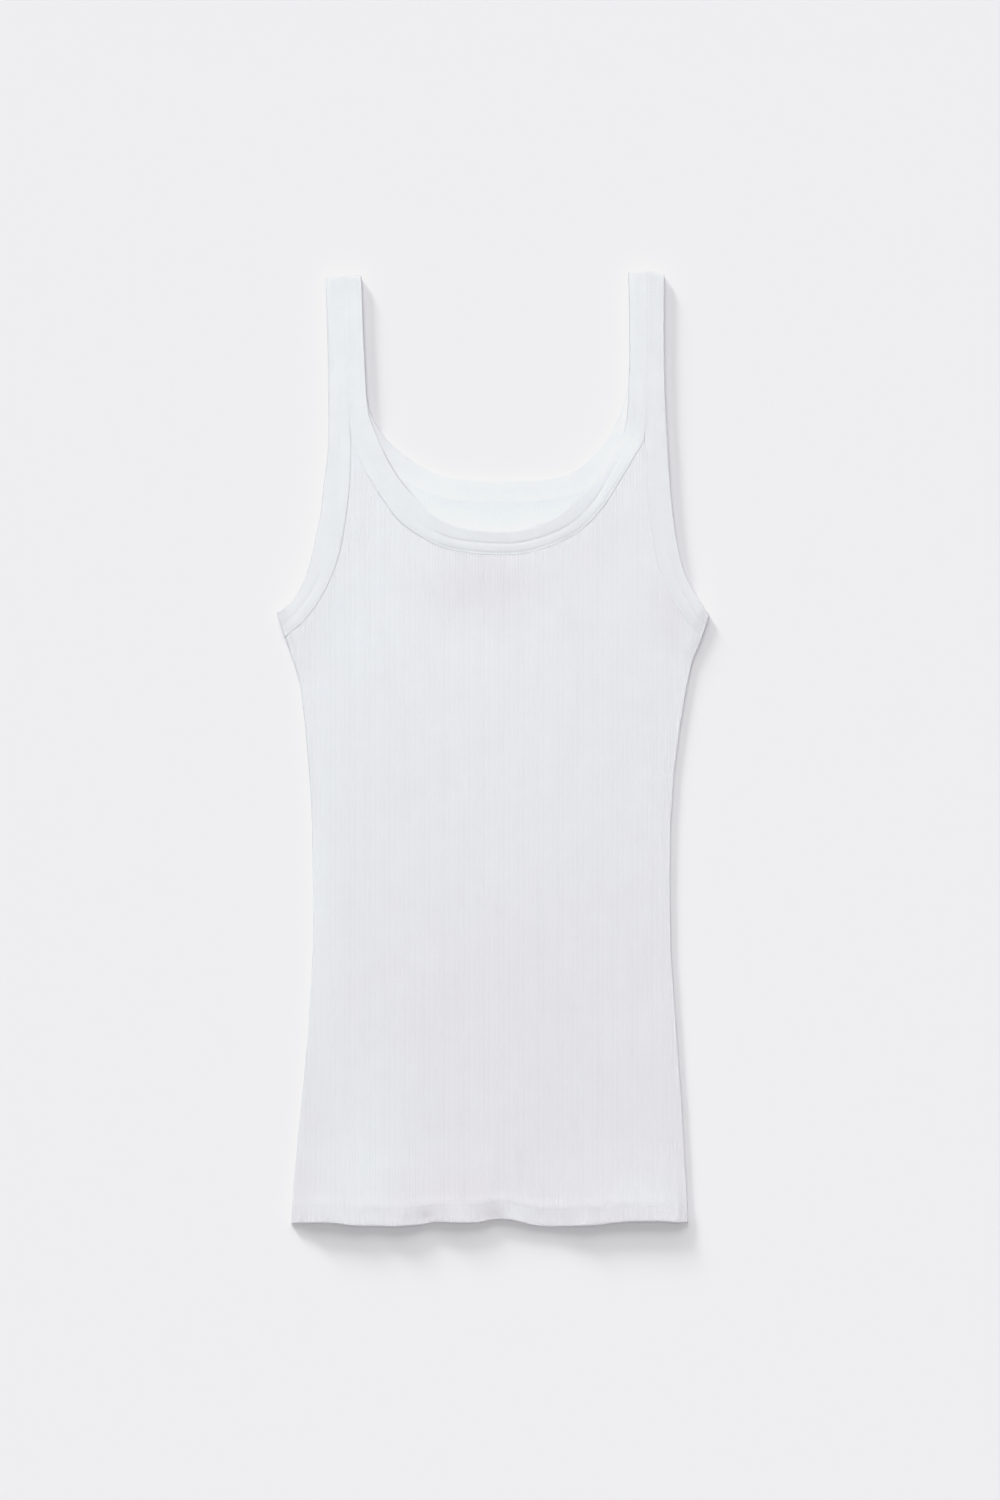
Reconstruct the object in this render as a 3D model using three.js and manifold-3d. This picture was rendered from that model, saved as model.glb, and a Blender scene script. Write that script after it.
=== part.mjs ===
// A women's ribbed cotton tank top, laid flat on its back with the front up.
//
// Millimetres, +Z up, +Y towards the shoulders, +X to the right in a view from above. The origin is
// the middle of the garment's plan, on the surface that it lies on.
//
// Five pieces are sewn together: a front and a back of fine rib knit, each with a turned hem, one closed
// neck binding, and one binding along each armhole. A strap is the neck binding and an armhole binding
// side by side, and both run over the shoulder in a fold, from the front layer to the back layer.
import * as THREE from "three";
import { mergeVertices } from "three/addons/utils/BufferGeometryUtils.js";
import Module from "manifold-3d";

// Cloth, as it lies.
const CLOTH = 1.2; // one ply of rib knit
const HEM_CLOTH = 2.0; // the two plies of the turned hem, pressed
const HEM_DEPTH = 13;
const BINDING = 2.2; // a binding folded round its raw edge
const GAP = 0.3; // between two pieces at a seam, and between two layers
const RIB_PITCH = 1.85;
const RIB_HEIGHT = 0.3;

// Shoulder folds.
const LEFT_TOP = 307.4;
const RIGHT_TOP = 310.2;
const FOLD_STEPS = 6;

// How the front lies on the back.
const DOME_HEIGHT = 1.0; // the air between the two panels, at the middle
const DOME_HALF_WIDTH = 125;
const ARMHOLE_RISE = 1.5; // the front climbs to the middle of the armhole bindings
const NECK_RISE = 0.5;
const RISE_REACH = 26;
const HEM_REACH = 45; // how far the hem's waves run up the front, above the stitching

// Sampling.
const BINDING_SAMPLES = 3; // between two rows of a binding's table
const HEM_SAMPLES = 2;
const SIDE_SAMPLES = 2;
const TIP_WIDTH = 1.6; // a panel's tip ends where its two seams are this far apart
const UNDERSIDE_STEP = 9;
const ROWS = [-314, -296, -292, -262, -215, -150, -80, -10, 45, 70, 90, 108, 122, 140, 165, 206];

// Rows of a table as objects, from the names of its columns.
function table(columns, rows) {
  const names = columns.split(" ");
  return rows.map((row) => Object.fromEntries(names.map((name, i) => [name, row[i]])));
}

// The straps' centre lines, where a neck binding and an armhole binding meet.
const STRAP_CENTRES = table("y left right", [
  [308, -97.1, 99.6],
  [259, -95.5, 99.9],
  [219, -93.4, 98.9],
  [198, -92.0, 98.3],
  [170, -91.0, 97.5],
]);

// Each binding runs between its folded edge and its seam. No seam crosses a strap's centre line.
const BINDING_COLUMNS = "edgeX edgeY seamX seamY";

const NECK_FRONT = table(BINDING_COLUMNS, [
  [-85.4, 305.0, -97.0, 305.0],
  [-83.6, 259.0, -95.5, 259.0],
  [-80.8, 219.0, -93.4, 219.0],
  [-76.4, 205.0, -91.4, 200.0],
  [-68.3, 187.5, -82.5, 179.0],
  [-60.6, 175.0, -72.2, 162.0],
  [-50.5, 163.0, -61.0, 147.0],
  [-40.0, 152.0, -47.5, 137.2],
  [-27.0, 145.0, -31.5, 129.4],
  [-11.0, 141.4, -12.5, 126.0],
  [5.0, 140.2, 5.7, 125.0],
  [20.0, 141.6, 22.0, 126.4],
  [34.5, 146.6, 40.0, 131.6],
  [48.5, 155.5, 56.5, 140.6],
  [62.0, 168.0, 71.0, 155.5],
  [73.5, 181.0, 84.5, 174.0],
  [82.0, 196.0, 93.0, 188.0],
  [86.0, 210.0, 97.7, 201.0],
  [87.6, 226.0, 98.9, 219.0],
  [88.6, 259.0, 99.9, 259.0],
  [88.0, 307.8, 99.6, 307.8],
]);

const NECK_BACK = table(BINDING_COLUMNS, [
  [-85.4, 305.0, -97.0, 305.0],
  [-83.6, 259.0, -95.5, 259.0],
  [-80.9, 223.0, -93.4, 219.0],
  [-75.5, 209.5, -87.0, 201.5],
  [-63.0, 194.5, -72.5, 183.6],
  [-47.5, 184.0, -54.0, 171.2],
  [-30.0, 176.6, -33.5, 162.6],
  [-11.0, 174.2, -12.0, 160.0],
  [8.0, 174.0, 8.0, 159.7],
  [27.0, 174.4, 28.5, 160.2],
  [44.5, 177.0, 49.5, 163.6],
  [57.0, 183.0, 65.5, 171.6],
  [68.5, 194.0, 78.5, 183.6],
  [78.0, 208.0, 88.5, 198.0],
  [84.0, 221.0, 94.6, 209.0],
  [87.2, 234.0, 98.9, 219.0],
  [88.6, 259.0, 99.9, 259.0],
  [88.0, 307.8, 99.6, 307.8],
]);

const LEFT_ARMHOLE = table(BINDING_COLUMNS, [
  [-108.6, 305.0, -97.0, 305.0],
  [-107.3, 259.0, -95.5, 259.0],
  [-106.8, 219.0, -93.4, 219.0],
  [-107.1, 196.0, -92.2, 198.0],
  [-109.8, 172.0, -93.0, 170.0],
  [-112.4, 151.0, -95.8, 146.0],
  [-115.8, 134.0, -99.6, 126.0],
  [-120.2, 116.0, -105.6, 109.0],
  [-127.0, 101.6, -113.6, 94.0],
  [-133.4, 93.0, -122.6, 82.2],
  [-140.5, 88.0, -135.2, 71.6],
]);

const RIGHT_ARMHOLE = table(BINDING_COLUMNS, [
  [111.2, 307.8, 99.6, 307.8],
  [111.2, 259.0, 99.9, 259.0],
  [112.2, 219.0, 98.9, 219.0],
  [113.6, 196.0, 98.6, 198.0],
  [115.0, 172.0, 99.8, 170.0],
  [117.0, 151.0, 102.2, 146.0],
  [119.4, 134.0, 105.6, 126.0],
  [123.4, 117.0, 111.0, 109.0],
  [128.8, 104.5, 118.2, 94.0],
  [134.6, 94.5, 126.2, 81.6],
  [140.5, 86.6, 135.8, 72.2],
]);

// The side seams, from the underarm down to the hem.
const SIDES = table("y left right", [
  [71, -135.0, 136.0],
  [57, -129.9, 129.8],
  [40, -125.0, 126.2],
  [13, -122.1, 121.6],
  [-17, -119.5, 117.8],
  [-50, -117.6, 115.6],
  [-88, -117.2, 115.2],
  [-130, -117.2, 115.8],
  [-180, -120.0, 119.2],
  [-230, -124.6, 122.9],
  [-280, -129.4, 124.9],
  [-300, -131.3, 125.6],
]);

// The hem, left to right: its edge, and how far the front stands off the back at that edge and at the
// stitching above it. Where the stitching is higher, the hem curls under, and otherwise it flips up.
const HEM = table("x y edge stitching", [
  [-130.7, -308.4, 0.2, 0.2],
  [-121, -307.5, 1.6, 1.2],
  [-106, -307.7, 3.2, 2.2],
  [-90, -309.8, 3.4, 2.4],
  [-77, -310.2, 2.4, 3.0],
  [-63, -309.8, 3.5, 3.0],
  [-53, -307.2, 2.6, 3.4],
  [-44, -305.8, 1.4, 3.5],
  [-34, -306.2, 2.4, 2.6],
  [-25, -307.2, 3.2, 1.6],
  [-14, -307.0, 2.2, 2.2],
  [-2, -306.2, 0.9, 3.3],
  [8, -305.2, 0.7, 2.0],
  [19, -307.4, 1.2, 0.9],
  [32, -309.3, 0.6, 1.8],
  [48, -308.2, 2.0, 2.8],
  [58, -308.3, 3.2, 2.2],
  [67, -308.3, 2.6, 3.2],
  [84, -307.8, 3.2, 3.0],
  [108, -306.8, 3.5, 2.2],
  [119, -307.1, 1.6, 1.2],
  [125.7, -307.3, 0.2, 0.2],
]);

// Low, broad rises of the front: middle, half sizes along and across, height, and turn in degrees.
const SOFT_FOLDS = table("x y along across height turn", [
  [-32, 112, 46, 11, 0.7, -57],
  [48, 104, 40, 14, 0.6, 52],
  [-2, 98, 30, 24, -0.5, 0],
  [-92, 40, 60, 12, 0.6, 62],
  [96, 26, 70, 14, 0.7, -66],
  [-60, -240, 80, 20, 0.8, 78],
  [30, -210, 90, 16, 0.6, 86],
  [86, -225, 70, 14, 0.7, -82],
  [-10, -60, 120, 22, 0.4, 90],
]);

// A binding's section: `across` is the share of its width from the folded edge to the seam, `through`
// the share of its thickness from the garment's inside to its outside.
const SECTION = table("across through", [
  [0.05, 0],
  [1, 0],
  [1, 0.8],
  [0.9, 1],
  [0.14, 1],
  [0, 0.72],
  [0, 0.28],
]);

const wasm = await Module();
wasm.setup();

// A smooth curve through a table's points, with the same number of samples between each two rows.
function smooth(points, samples) {
  const curve = new THREE.CatmullRomCurve3(
    points.map(([x, y]) => new THREE.Vector3(x, y, 0)),
    false,
    "centripetal",
  );
  return curve.getPoints((points.length - 1) * samples);
}

const edgeOf = (rows) => smooth(rows.map((row) => [row.edgeX, row.edgeY]), BINDING_SAMPLES);

// How far a strap's centre line is from the garment's middle, on the side and at the height of a point.
function strapCentre({ x, y }) {
  const side = x < 0 ? "left" : "right";
  const i = Math.max(1, STRAP_CENTRES.findIndex((row) => row.y < y));
  const above = STRAP_CENTRES[i - 1];
  const below = STRAP_CENTRES[i];
  return Math.abs(THREE.MathUtils.mapLinear(y, above.y, below.y, above[side], below[side]));
}

// A binding's seam line. It stays on its own side of the straps' centre lines: `keep` is Math.min for a
// neck binding and Math.max for an armhole binding.
function seamOf(rows, keep) {
  const line = smooth(rows.map((row) => [row.seamX, row.seamY]), BINDING_SAMPLES);
  const tip = STRAP_CENTRES.at(-1).y;
  for (const point of line)
    if (point.y > tip) point.x = Math.sign(point.x) * keep(Math.abs(point.x), strapCentre(point));
  return line;
}

const smoothstep = (low, high, value) => THREE.MathUtils.smoothstep(value, low, high);

// The distance from a point to a line of points.
function distanceTo(line, x, y) {
  const point = new THREE.Vector3(x, y, 0);
  const nearest = new THREE.Vector3();
  const segment = new THREE.Line3();
  let least = Infinity;
  for (let i = 1; i < line.length; i++) {
    segment.set(line[i - 1], line[i]).closestPointToPoint(point, true, nearest);
    least = Math.min(least, nearest.distanceTo(point));
  }
  return least;
}

// A value of a table at x, eased between its rows.
function valueAt(rows, column, x) {
  const last = rows.length - 1;
  if (x <= rows[0].x) return rows[0][column];
  if (x >= rows[last].x) return rows[last][column];
  const i = rows.findIndex((row) => row.x > x);
  const share = smoothstep(rows[i - 1].x, rows[i].x, x);
  return THREE.MathUtils.lerp(rows[i - 1][column], rows[i][column], share);
}

function geometryOf(positions, indices) {
  const geometry = new THREE.BufferGeometry();
  geometry.setAttribute("position", new THREE.Float32BufferAttribute(positions, 3));
  geometry.setIndex(indices);
  return geometry;
}

function solidOf(geometry) {
  const bare = geometry.clone();
  bare.deleteAttribute("normal");
  bare.deleteAttribute("uv");
  const merged = mergeVertices(bare, 1e-4);
  return new wasm.Manifold(
    new wasm.Mesh({
      numProp: 3,
      vertProperties: merged.attributes.position.array,
      triVerts: new Uint32Array(merged.index.array),
    }),
  );
}

function geometryFrom(solid) {
  const mesh = solid.getMesh();
  return geometryOf(mesh.vertProperties, Array.from(mesh.triVerts));
}

// BINDINGS
// A station is a cross line of the binding's inner face, and the way its outside looks.
const UP = new THREE.Vector3(0, 0, 1);
const DOWN = new THREE.Vector3(0, 0, -1);
const FRONT_INSIDE = BINDING + GAP; // the front layer's inner face, where it lies on the back binding

// One layer of a binding: its seam side is drawn in by half a gap.
function layer(rows, keep, insideAt, outward) {
  const edge = edgeOf(rows);
  const seam = seamOf(rows, keep);
  return edge.map((point, i) => {
    const width = point.distanceTo(seam[i]);
    const drawn = seam[i].clone().lerp(point, GAP / 2 / width);
    const z = insideAt(point.y);
    return { edge: point.clone().setZ(z), seam: drawn.setZ(z), outward };
  });
}

// The half turn of both strap bindings over the shoulder, from the front layer to the back layer.
function shoulderFold(front, back, top) {
  const stations = [];
  const centreY = top - BINDING - GAP / 2;
  const centreZ = BINDING + GAP / 2;
  for (let i = 0; i <= FOLD_STEPS; i++) {
    const share = i / FOLD_STEPS;
    const angle = Math.PI * (0.5 - share);
    const outward = new THREE.Vector3(0, Math.cos(angle), Math.sin(angle));
    const place = (side) => {
      const x = THREE.MathUtils.lerp(front[side].x, back[side].x, share);
      return new THREE.Vector3(x, centreY, centreZ).addScaledVector(outward, GAP / 2);
    };
    stations.push({ edge: place("edge"), seam: place("seam"), outward });
  }
  return stations;
}

// The solid through a binding's stations: a ring of the section at each one, closed on itself or capped.
function bindingGeometry(stations, closed, flipped) {
  const positions = [];
  const indices = [];
  const count = SECTION.length;
  for (const { edge, seam, outward } of stations)
    for (const { across, through } of SECTION)
      positions.push(...edge.clone().lerp(seam, across).addScaledVector(outward, through * BINDING));
  const face = (a, b, c) => indices.push(...(flipped ? [a, c, b] : [a, b, c]));
  const rings = closed ? stations.length : stations.length - 1;
  for (let ring = 0; ring < rings; ring++)
    for (let i = 0; i < count; i++) {
      const next = (i + 1) % count;
      const here = ring * count;
      const there = ((ring + 1) % stations.length) * count;
      face(here + i, there + i, here + next);
      face(here + next, there + i, there + next);
    }
  if (!closed) {
    const end = (stations.length - 1) * count;
    for (let i = 1; i < count - 1; i++) {
      face(0, i, i + 1);
      face(end, end + i + 1, end + i);
    }
  }
  return geometryOf(positions, indices);
}

// The front neck binding steps down from the back neck binding to the back panel.
const neckInside = (y) => THREE.MathUtils.lerp(CLOTH + GAP, FRONT_INSIDE, smoothstep(148, 167, y));

const strapRows = (stations) => ({ first: stations[0], last: stations[stations.length - 1] });

function neckBinding() {
  const front = layer(NECK_FRONT, Math.min, neckInside, UP);
  const back = layer(NECK_BACK, Math.min, () => BINDING, DOWN).reverse();
  const right = shoulderFold(strapRows(front).last, strapRows(back).first, RIGHT_TOP);
  const left = shoulderFold(strapRows(front).first, strapRows(back).last, LEFT_TOP).reverse();
  return bindingGeometry([...front, ...right, ...back, ...left], true, false);
}

function armholeBinding(rows, top, flipped) {
  const front = layer(rows, Math.max, () => FRONT_INSIDE, UP).reverse();
  const back = layer(rows, Math.max, () => BINDING, DOWN);
  const fold = shoulderFold(strapRows(front).last, strapRows(back).first, top);
  return bindingGeometry([...front, ...fold, ...back], false, flipped);
}

// PANELS
const leftArmhole = seamOf(LEFT_ARMHOLE, Math.max);
const rightArmhole = seamOf(RIGHT_ARMHOLE, Math.max);

// A panel's outline: the hem, the sides, and the seam lines of its bindings, drawn in by half a gap.
function panelOutline(neckRows) {
  const neck = seamOf(neckRows, Math.min);
  const apart = (line, others) =>
    line.filter((p) => others.every((other) => distanceTo(other, p.x, p.y) > TIP_WIDTH));
  const corners = [
    ...smooth(HEM.map((row) => [row.x, row.y]), HEM_SAMPLES),
    ...smooth(SIDES.map((row) => [row.right, row.y]), SIDE_SAMPLES).reverse(),
    ...apart(rightArmhole, [neck]).reverse(),
    ...apart(neck, [leftArmhole, rightArmhole]).reverse(),
    ...apart(leftArmhole, [neck]),
    ...smooth(SIDES.map((row) => [row.left, row.y]), SIDE_SAMPLES),
  ];
  return corners.map((point, i) => {
    const before = corners.at(i - 1);
    const after = corners[(i + 1) % corners.length];
    const along = new THREE.Vector2(after.x - before.x, after.y - before.y).normalize();
    return new THREE.Vector2(point.x - (along.y * GAP) / 2, point.y + (along.x * GAP) / 2);
  });
}

function prism(outline, low, high) {
  const geometry = new THREE.ExtrudeGeometry(new THREE.Shape(outline), {
    depth: high - low,
    bevelEnabled: false,
  });
  return geometry.translate(0, 0, low);
}

// The solid between a height field over a grid and a level plane above or below it.
function fieldSolid(xs, ys, height, level) {
  const positions = [];
  const indices = [];
  const columns = xs.length;
  const flipped = level > height(xs[0], ys[0]);
  const face = (a, b, c) => indices.push(...(flipped ? [a, c, b] : [a, b, c]));
  for (const y of ys) for (const x of xs) positions.push(x, y, height(x, y));
  for (let j = 0; j + 1 < ys.length; j++)
    for (let i = 0; i + 1 < columns; i++) {
      const a = j * columns + i;
      face(a, a + 1, a + columns);
      face(a + 1, a + columns + 1, a + columns);
    }
  const rim = [];
  for (let i = 0; i < columns; i++) rim.push(i);
  for (let j = 1; j < ys.length; j++) rim.push(j * columns + columns - 1);
  for (let i = columns - 2; i >= 0; i--) rim.push((ys.length - 1) * columns + i);
  for (let j = ys.length - 2; j > 0; j--) rim.push(j * columns);
  const foot = positions.length / 3;
  for (const top of rim) positions.push(positions[3 * top], positions[3 * top + 1], level);
  const middle = positions.length / 3;
  positions.push((xs[0] + xs.at(-1)) / 2, (ys[0] + ys.at(-1)) / 2, level);
  rim.forEach((top, i) => {
    const next = (i + 1) % rim.length;
    face(top, foot + i, rim[next]);
    face(rim[next], foot + i, foot + next);
    face(foot + i, middle, foot + next);
  });
  return solidOf(geometryOf(positions, indices));
}

const frontNeck = seamOf(NECK_FRONT, Math.min);

function softFolds(x, y) {
  let height = 0;
  for (const fold of SOFT_FOLDS) {
    const turn = THREE.MathUtils.degToRad(fold.turn);
    const dx = x - fold.x;
    const dy = y - fold.y;
    const along = (dx * Math.cos(turn) + dy * Math.sin(turn)) / fold.along;
    const across = (dy * Math.cos(turn) - dx * Math.sin(turn)) / fold.across;
    height += fold.height * Math.exp(-along * along - across * across);
  }
  return height;
}

// The front's inner face: on the back at the sides, up a little in the middle, up to the bindings at the
// neck and armholes, and standing off in waves along the hem.
function frontInside(x, y) {
  const middle = Math.max(0, 1 - (x / DOME_HALF_WIDTH) ** 2);
  const armhole = Math.min(distanceTo(leftArmhole, x, y), distanceTo(rightArmhole, x, y));
  const neck = distanceTo(frontNeck, x, y);
  const atArmhole = 1 - smoothstep(0, RISE_REACH, armhole);
  const atNeck = 1 - smoothstep(0, RISE_REACH, neck);
  const aboveEdge = y - valueAt(HEM, "y", x);
  const atHem = 1 - smoothstep(HEM_DEPTH, HEM_DEPTH + HEM_REACH, aboveEdge);
  const loose = (1 - atArmhole) * (1 - atNeck) * (1 - atHem) * middle;
  const curl = THREE.MathUtils.clamp(aboveEdge / HEM_DEPTH, 0, 1);
  const hem = atHem * THREE.MathUtils.lerp(valueAt(HEM, "edge", x), valueAt(HEM, "stitching", x), curl);
  const rise = Math.max(ARMHOLE_RISE * atArmhole, NECK_RISE * atNeck);
  return CLOTH + GAP + rise + hem + Math.max(0, loose * (DOME_HEIGHT + softFolds(x, y)));
}

// The front's outer face: a ply above the inner one, two plies in the hem, with the ribs on top.
function frontOutside(x, y) {
  const ply = THREE.MathUtils.lerp(HEM_CLOTH, CLOTH, smoothstep(-296, -292, y));
  const rib = Math.abs(Math.round((2 * x) / RIB_PITCH)) % 2 === 0 ? RIB_HEIGHT : 0;
  return frontInside(x, y) + ply + rib;
}

function steps(low, high, step) {
  const count = Math.ceil((high - low) / step);
  return Array.from({ length: count + 1 }, (_, i) => low + i * step);
}

function frontPanel() {
  const halfRibs = Math.ceil(144 / RIB_PITCH) * 2;
  const crests = steps((-halfRibs * RIB_PITCH) / 2, (halfRibs * RIB_PITCH) / 2 + 0.01, RIB_PITCH / 2);
  const outer = fieldSolid(crests, ROWS, frontOutside, -10);
  const inner = fieldSolid(steps(-144, 144, UNDERSIDE_STEP), ROWS, frontInside, 30);
  const cut = solidOf(prism(panelOutline(NECK_FRONT), -5, 20));
  return geometryFrom(outer.intersect(inner).intersect(cut));
}

function backPanel() {
  return prism(panelOutline(NECK_BACK), 0, CLOTH);
}

// MATERIALS: white cotton, a little cooler on the bindings.
const ribKnit = () => new THREE.MeshStandardMaterial({ color: 0xe6e7eb, roughness: 0.92, metalness: 0 });
const bindingKnit = () => new THREE.MeshStandardMaterial({ color: 0xe9ecee, roughness: 0.9, metalness: 0 });

function piece(name, geometry, material) {
  const mesh = new THREE.Mesh(geometry, material);
  mesh.name = name;
  return mesh;
}

const tankTop = new THREE.Group();
tankTop.add(
  piece("back_panel", backPanel(), ribKnit()),
  piece("front_panel", frontPanel(), ribKnit()),
  piece("neck_binding", neckBinding(), bindingKnit()),
  piece("left_armhole_binding", armholeBinding(LEFT_ARMHOLE, LEFT_TOP, false), bindingKnit()),
  piece("right_armhole_binding", armholeBinding(RIGHT_ARMHOLE, RIGHT_TOP, true), bindingKnit()),
);

export default tankTop;
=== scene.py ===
import bmesh
import bpy
import numpy as np
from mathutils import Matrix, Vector


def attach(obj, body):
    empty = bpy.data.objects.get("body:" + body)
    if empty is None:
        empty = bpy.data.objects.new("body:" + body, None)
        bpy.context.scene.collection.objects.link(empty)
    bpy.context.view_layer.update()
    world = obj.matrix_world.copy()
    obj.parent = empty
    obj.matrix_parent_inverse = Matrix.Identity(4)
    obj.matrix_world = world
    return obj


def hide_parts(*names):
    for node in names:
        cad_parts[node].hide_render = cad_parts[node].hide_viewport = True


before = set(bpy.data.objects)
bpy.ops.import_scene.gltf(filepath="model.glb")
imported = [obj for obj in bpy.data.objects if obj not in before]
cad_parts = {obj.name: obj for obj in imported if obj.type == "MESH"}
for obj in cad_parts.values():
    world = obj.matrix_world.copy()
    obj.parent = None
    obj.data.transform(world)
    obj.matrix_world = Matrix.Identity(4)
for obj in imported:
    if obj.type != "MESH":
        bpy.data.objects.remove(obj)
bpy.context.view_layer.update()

# THE BACK
# The back panel of the top: one ply of fine cotton rib, cut with the higher neckline, its hem turned up
# inside. It lies flat on the surface, and only its inside shows, above the front neckline.
# Plans are in millimetres, seen from above, with the shoulders towards +Y.
MM = 0.001
CLOTH = 1.2
HEM_CLOTH = 2.0
HEM_DEPTH = 13.0
BINDING = 2.2
GAP = 0.3
RIB = 1.85
RIB_HEIGHT = 0.26
COLUMNS_PER_RIB = 4
HALF_COLUMNS = 296
PANEL_ROWS = 148
PANEL_DRAW = 0.02
TIP_TOP = 203.0
TIP_GAP = 0.1
SIDE_TUCK = 0.3
RIB_POWER = 0.7
BACK_UNDER_RIBS = 0.5
BACK_UPPER_RIBS = 0.4
BACK_VALLEYS = 0.1
LINE_SAMPLES = 8
MERGE = 0.002
SURFACE_GAP = 0.02

# How far a panel's rows are above its hem and below its seams, and the level line between them.
HEM_ROWS = np.array([
    0, 0.25, 0.8, 1.6, 2.8, 4.2, 5.8, 7.4, 9.0, 9.8, 10.4, 11.2, 12.2, 12.8, 13.4, 14.4, 16, 19,
])
SEAM_ROWS = np.array([11, 8.4, 6.2, 4.4, 2.8, 1.4, 0.5, 0.08, 0])
LEVEL_LINE = 52.0
LOWER_SHARE = 0.72

# y, and the left and right x of the straps' centre lines, where two bindings meet.
STRAP_CENTRES = np.array([
    [308, -97.1, 99.6], [259, -95.5, 99.9], [219, -93.4, 98.9], [198, -92.0, 98.3], [170, -91.0, 97.5],
])

# Where, up a strap, the seams of its two bindings come together on its centre line.
SEAMS_MEET = (190, 208)

# Rows of a binding: x and y of its folded edge, then x and y of its seam.
NECK_BACK = np.array([
    [-85.4, 304.4, -97.0, 305.0], [-83.6, 259.0, -95.5, 259.0], [-80.9, 223.0, -93.4, 219.0],
    [-75.5, 209.5, -87.0, 201.5], [-63.0, 194.5, -72.5, 183.6], [-47.5, 184.0, -54.0, 171.2],
    [-30.0, 176.6, -33.5, 162.6], [-11.0, 174.2, -12.0, 160.0], [8.0, 174.0, 8.0, 159.7],
    [27.0, 174.4, 28.5, 160.2], [44.5, 177.0, 49.5, 163.6], [57.0, 183.0, 65.5, 171.6],
    [68.5, 194.0, 78.5, 183.6], [78.0, 208.0, 88.5, 198.0], [84.0, 221.0, 94.6, 209.0],
    [87.2, 234.0, 98.9, 219.0], [88.6, 259.0, 99.9, 259.0], [88.0, 306.8, 99.6, 307.8],
])
LEFT_ARMHOLE = np.array([
    [-108.6, 304.2, -97.0, 305.0], [-107.3, 259.0, -95.5, 259.0], [-106.8, 219.0, -93.4, 219.0],
    [-107.1, 196.0, -92.2, 198.0], [-109.8, 172.0, -93.0, 170.0], [-112.4, 151.0, -95.8, 146.0],
    [-115.8, 134.0, -99.6, 126.0], [-120.2, 116.0, -105.6, 109.0], [-127.0, 101.6, -113.6, 94.0],
    [-133.4, 93.0, -122.6, 82.2], [-140.5, 88.0, -135.2, 71.6],
])
RIGHT_ARMHOLE = np.array([
    [111.2, 305.9, 99.6, 307.8], [111.2, 259.0, 99.9, 259.0], [112.2, 219.0, 98.9, 219.0],
    [113.6, 196.0, 98.6, 198.0], [115.0, 172.0, 99.8, 170.0], [117.0, 151.0, 102.2, 146.0],
    [119.4, 134.0, 105.6, 126.0], [123.4, 117.0, 111.0, 109.0], [128.8, 104.5, 118.2, 94.0],
    [134.6, 94.5, 126.2, 81.6], [140.5, 86.6, 135.8, 72.2],
])

# y, and the left and right x of the side seams.
SIDES = np.array([
    [71, -135.0, 136.0], [57, -129.9, 129.8], [40, -125.0, 126.2], [13, -122.1, 121.6],
    [-17, -119.5, 117.8], [-50, -117.6, 115.6], [-88, -117.2, 115.2], [-130, -117.2, 115.8],
    [-180, -120.0, 119.2], [-230, -124.6, 122.9], [-280, -129.4, 125.6], [-309, -131.4, 126.8],
])

# The hem's edge: x, y, and how far the front stands off the back at the edge and at the stitching.
HEM = np.array([
    [-130.7, -309.2, 0.2, 0.2], [-124.5, -308.6, 0.5, 0.5], [-119, -308.5, 2.6, 1.6],
    [-106, -308.4, 3.2, 2.2], [-90, -310.2, 3.4, 2.4], [-77, -310.5, 2.4, 3.0],
    [-63, -310.7, 3.5, 3.0], [-53, -310.1, 2.6, 3.4], [-44, -309.5, 1.2, 3.7],
    [-40, -308.4, 1.6, 3.3], [-34, -308.0, 2.4, 2.6], [-25, -308.3, 3.0, 1.8],
    [-14, -308.4, 2.2, 2.2], [-8, -308.2, 1.7, 2.9], [-2, -306.9, 1.2, 3.5],
    [8, -306.3, 1.3, 1.7], [19, -308.3, 1.1, 0.9], [25, -310.0, 0.8, 1.3],
    [32, -310.9, 0.5, 1.8], [48, -310.8, 1.8, 2.8], [58, -310.3, 3.2, 2.2],
    [67, -309.9, 2.6, 3.2], [84, -307.9, 3.2, 3.0], [108, -307.3, 3.5, 2.2],
    [119, -308.3, 2.4, 1.6], [126.6, -308.5, 0.2, 0.2],
])


def smooth_line(points, samples):
    """A curve through the points, with `samples` steps between each two: cubics whose tangents come from
    the neighbouring points, weighed by the square roots of the distances between them."""
    p = np.vstack([2 * points[0] - points[1], points, 2 * points[-1] - points[-2]])
    gap = np.sqrt(np.linalg.norm(np.diff(p, axis=0), axis=1))[:, None]
    before, here, after = gap[:-2], gap[1:-1], gap[2:]
    p0, p1, p2, p3 = p[:-3], p[1:-2], p[2:-1], p[3:]
    leave = here * ((p1 - p0) / before - (p2 - p0) / (before + here) + (p2 - p1) / here)
    reach = here * ((p2 - p1) / here - (p3 - p1) / (here + after) + (p3 - p2) / after)
    t = (np.arange(samples) / samples)[None, :, None]
    line = (
        (2 * t**3 - 3 * t**2 + 1) * p1[:, None]
        + (t**3 - 2 * t**2 + t) * leave[:, None]
        + (3 * t**2 - 2 * t**3) * p2[:, None]
        + (t**3 - t**2) * reach[:, None]
    )
    return np.vstack([line.reshape(-1, p.shape[1]), p[-2]])


def ease(low, high, value):
    """A smooth step: 0 up to low, 1 from high on, and 3t^2 - 2t^3 between them."""
    t = np.clip((value - low) / (high - low), 0, 1)
    return t * t * (3 - 2 * t)


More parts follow.
